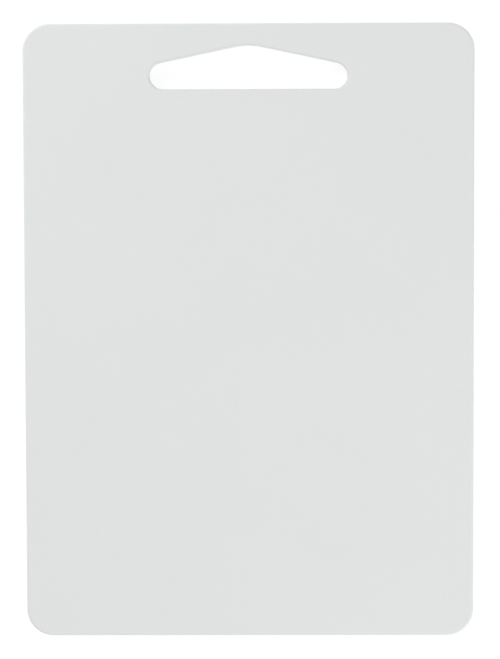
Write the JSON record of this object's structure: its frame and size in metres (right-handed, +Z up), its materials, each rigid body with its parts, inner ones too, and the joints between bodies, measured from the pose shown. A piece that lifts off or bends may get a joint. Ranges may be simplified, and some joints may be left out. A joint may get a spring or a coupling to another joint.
{
  "type": "cutting board",
  "caption": "Flat one-piece plastic cutting board with round corners, rounded edges on both faces and a peaked hand slot near one short side.",
  "frame": {"origin": "centre of the lower cutting face, on the surface that the board lies on", "axes": "+X across the width, +Y along the length towards the hand slot, +Z up out of the upper cutting face"},
  "size_m": [0.249, 0.34, 0.008],
  "materials": {
    "board_plastic": "off-white solid polyethylene, matte with a fine moulded grain on both faces"
  },
  "bodies": {
    "root": {"board": "board_plastic"}
  },
  "joints": []
}
